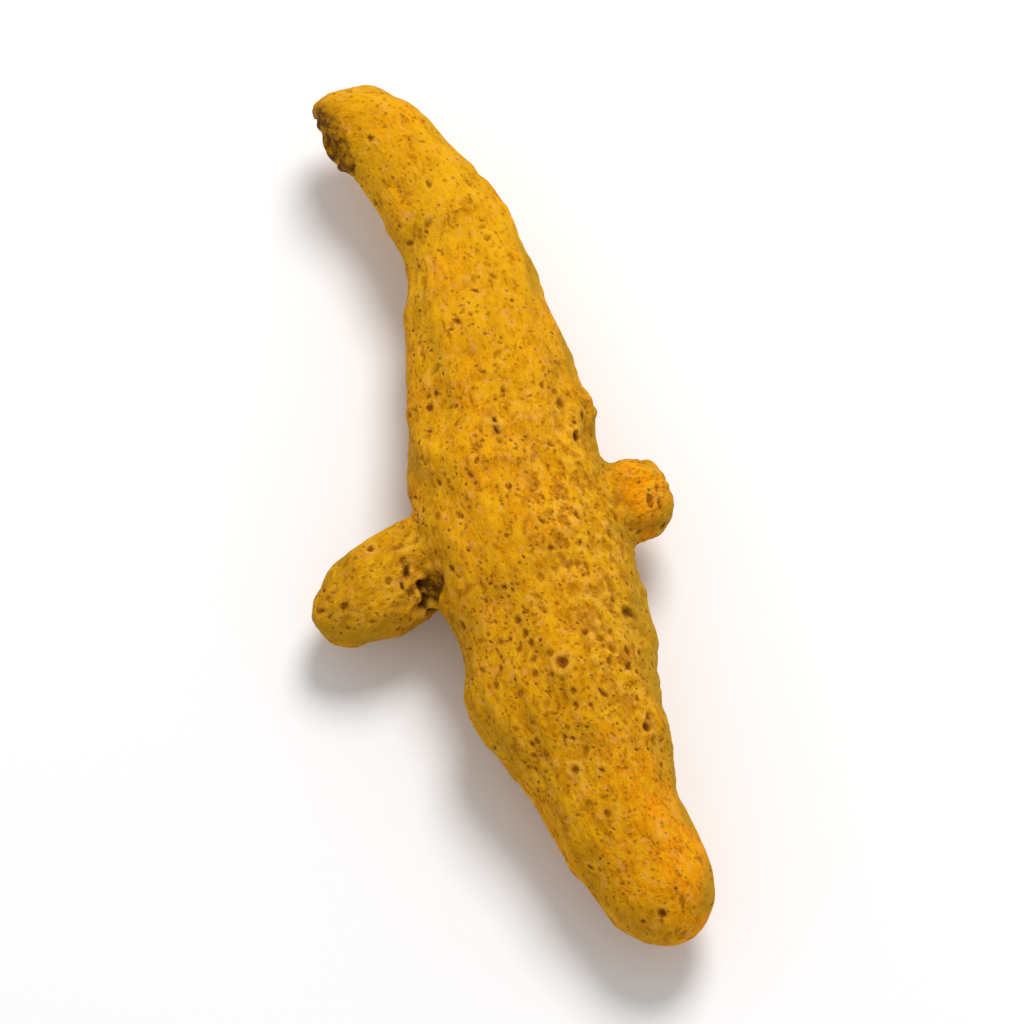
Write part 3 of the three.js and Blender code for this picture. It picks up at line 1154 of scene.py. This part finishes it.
            # Crevices, and more faintly the larger pores and slits, get painted shade.
            if spot.kind is SpotKind.CREVICE:
                deep[near] = np.maximum(deep[near], self.pit_shade.at(away))
            elif spot.kind is not SpotKind.RINGED and spot.radius > self.pit_radius_mm:
                deep[near] = np.maximum(deep[near], self.pit_shade_share * self.pit_shade.at(away))
            lip = bell(away, self.lip_place, self.lip_width)
            height[near] += rim * spot.radius * lip
            pale[near] = np.maximum(pale[near], min(1.0, self.lip_paleness * rim) * lip)
            nearest[near] = np.minimum(nearest[near], away)
        LOG.info("spots: %d placed, %d strewn", len(placed), len(strewn))
        return nearest, pale, deep, height

    def warm(self) -> Array:
        """Marks the orange places: the tip's bud side, the bud, the lost bud and a few patches.

        Returns:
            How orange each point is, from 0 to 1.
        """
        tip = self.warm_tip.at(self.body.along) * self.warm_tip_y.at(self.points[:, 1])
        tip *= self.warm_tip_patches.at(Waver.TIP.at(self.points))
        patches = self.warm_patches.at(Waver.WARM.at(self.points))
        bud = self.warm_bud * self.warm_bud_gap.at(self.body.gap) * self.on(LimbName.BUD)
        lost = self.warm_lost_bud * self.near(self.lost_bud_place, self.lost_bud_radius)
        return np.clip(tip + bud + lost + patches + self.warm_lit_crown * self.lit_crown(), 0.0, 1.0)

    def olive(self) -> Array:
        """Marks the dull green-brown places, the branch's end and the neck's rim, and the painted shade on
        the steep flanks, most on the far flank and at a spot on its edge.

        Returns:
            How dull or shaded each point is, from 0 to 1.
        """
        body, branch = self.body, self.places[LimbName.BRANCH]
        end = self.olive_branch_end.at(branch.along - branch.length) * self.on(LimbName.BRANCH)
        far = self.far_flank_shade_facing.at(self.normals[:, 1]) * self.far_flank_shade_along.at(body.along)
        near_share, far_share = self.flank_shade_shares
        # Painted shade: the steep flanks turn olive, more on the far flank towards the tip.
        flank = self.flank_shade_steepness.at(np.abs(self.normals[:, 2])) * (near_share + far_share * far)
        uneven = self.olive_patches.at(Waver.OLIVE.at(self.points))
        # Painted shade on a spot at the far flank's edge.
        edge_shade = self.edge_shade_share * self.near(self.edge_shade_place, self.edge_shade_radius)
        even = self.olive_branch * self.on(LimbName.BRANCH) + edge_shade
        return np.clip((end + self.olive_rim.at(body.along) + flank) * uneven + even, 0.0, 1.0)

    def write(self, piece: bpy.types.Object, height: Array, marks: dict[Mark, Array]) -> None:
        """Moves the points and stores the marks.

        Args:
            piece: The skin's object.
            height: Height of each point over the smooth form.
            marks: Marks for the finish.
        """
        height = height * self.relief_above_floor.at(self.points[:, 2])
        moved = self.points + self.normals * height[:, None]
        moved[:, 2] = np.maximum(moved[:, 2], 0.0)
        mesh = piece.data
        mesh.vertices.foreach_set("co", (moved * MM).ravel())
        for mark, values in marks.items():
            if mark is Mark.GRAIN:
                store = mesh.attributes.new(mark.value, "FLOAT_VECTOR", "POINT")
                store.data.foreach_set("vector", (values * MM).ravel())
            else:
                store = mesh.attributes.new(mark.value, "FLOAT", "POINT")
                store.data.foreach_set("value", values)
        mesh.update()
        LOG.info("%s: %d faces", piece.name, len(mesh.polygons))


@dataclass(frozen=True)
class Studio:
    """A pale floor, soft light from the upper right and a long lens at the photograph's angle."""

    azimuth: float = 67.2
    elevation: float = 70.0
    lens: float = 600.0
    sensor: float = 36.0
    clip: Range = (0.01, 20.0)
    view_width: float = 74.0
    floor_size: float = 3000.0
    floor_drop: float = 0.02
    floor_colour: Colour = (0.92, 0.92, 0.92)
    floor_roughness: float = 0.95
    floor_specular: float = 0.1
    fill_colour: Colour = (0.99, 0.99, 1.0)
    fill: float = 0.55
    key_power: float = 3.55
    key_size: float = 320.0
    key_distance: float = 700.0
    key_azimuth: float = -130.0
    key_elevation: float = 56.0

    def direction(self, azimuth: float, elevation: float) -> Vector:
        """Gives the way to a camera or lamp: azimuth 0 looks along +Y, elevation is above the floor."""
        a, e = math.radians(azimuth), math.radians(elevation)
        return Vector((math.sin(a) * math.cos(e), -math.cos(a) * math.cos(e), math.sin(e)))

    def build(self, piece: bpy.types.Object) -> None:
        """Builds the studio round a finished piece, which the camera is aimed at."""
        self.add_floor()
        self.add_fill()
        self.add_key()
        self.add_camera(piece)

    def add_floor(self) -> None:
        """Lays the floor."""
        bpy.ops.object.select_all(action="DESELECT")
        place = (0.0, 0.0, -self.floor_drop * MM)
        bpy.ops.mesh.primitive_plane_add(size=self.floor_size * MM, location=place)
        floor = bpy.context.object
        floor.name = "floor"
        material = bpy.data.materials.new("pale_floor")
        material.use_nodes = True
        shader = material.node_tree.nodes["Principled BSDF"]
        shader.inputs["Base Color"].default_value = (*self.floor_colour, 1.0)
        shader.inputs["Roughness"].default_value = self.floor_roughness
        shader.inputs["Specular IOR Level"].default_value = self.floor_specular
        floor.data.materials.append(material)

    def add_fill(self) -> None:
        """Fills the room with even pale light."""
        world = bpy.data.worlds.new("room")
        world.use_nodes = True
        background = world.node_tree.nodes["Background"]
        background.inputs["Color"].default_value = (*self.fill_colour, 1.0)
        background.inputs["Strength"].default_value = self.fill
        bpy.context.scene.world = world

    def add_key(self) -> None:
        """Hangs the soft key light."""
        towards = self.direction(self.key_azimuth, self.key_elevation)
        bpy.ops.object.light_add(type="AREA", location=towards * self.key_distance * MM)
        key = bpy.context.object
        key.name = "key"
        key.rotation_euler = (-towards).to_track_quat("-Z", "Y").to_euler()
        key.data.shape = "DISK"
        key.data.size = self.key_size * MM
        key.data.energy = self.key_power

    def add_camera(self, piece: bpy.types.Object) -> None:
        """Sets the camera up, aimed at the middle of the piece as the image shows it.

        Args:
            piece: The finished piece.
        """
        back = self.direction(self.azimuth, self.elevation)
        turn = (-back).to_track_quat("-Z", "Y")
        aim = Vector()
        for way in (turn @ Vector((1.0, 0.0, 0.0)), turn @ Vector((0.0, 1.0, 0.0)), back):
            reach = [v.co.dot(way) for v in piece.data.vertices]
            aim += (min(reach) + max(reach)) / 2 * way
        distance = self.view_width * MM * self.lens / self.sensor
        bpy.ops.object.camera_add(location=aim + back * distance)
        camera = bpy.context.object
        camera.name = "camera"
        camera.rotation_mode = "QUATERNION"
        camera.rotation_quaternion = turn
        camera.data.lens = self.lens
        camera.data.sensor_width = self.sensor
        camera.data.clip_start, camera.data.clip_end = self.clip
        scene = bpy.context.scene
        scene.camera = camera
        scene.view_settings.view_transform = "Standard"
        scene.view_settings.look = "None"


def main() -> None:
    """Builds the finger and the studio round it."""
    logging.basicConfig(level=logging.INFO, format="%(name)s: %(message)s")
    piece = Skin().build()
    Studio().build(piece)


if __name__ == "__main__":
    main()
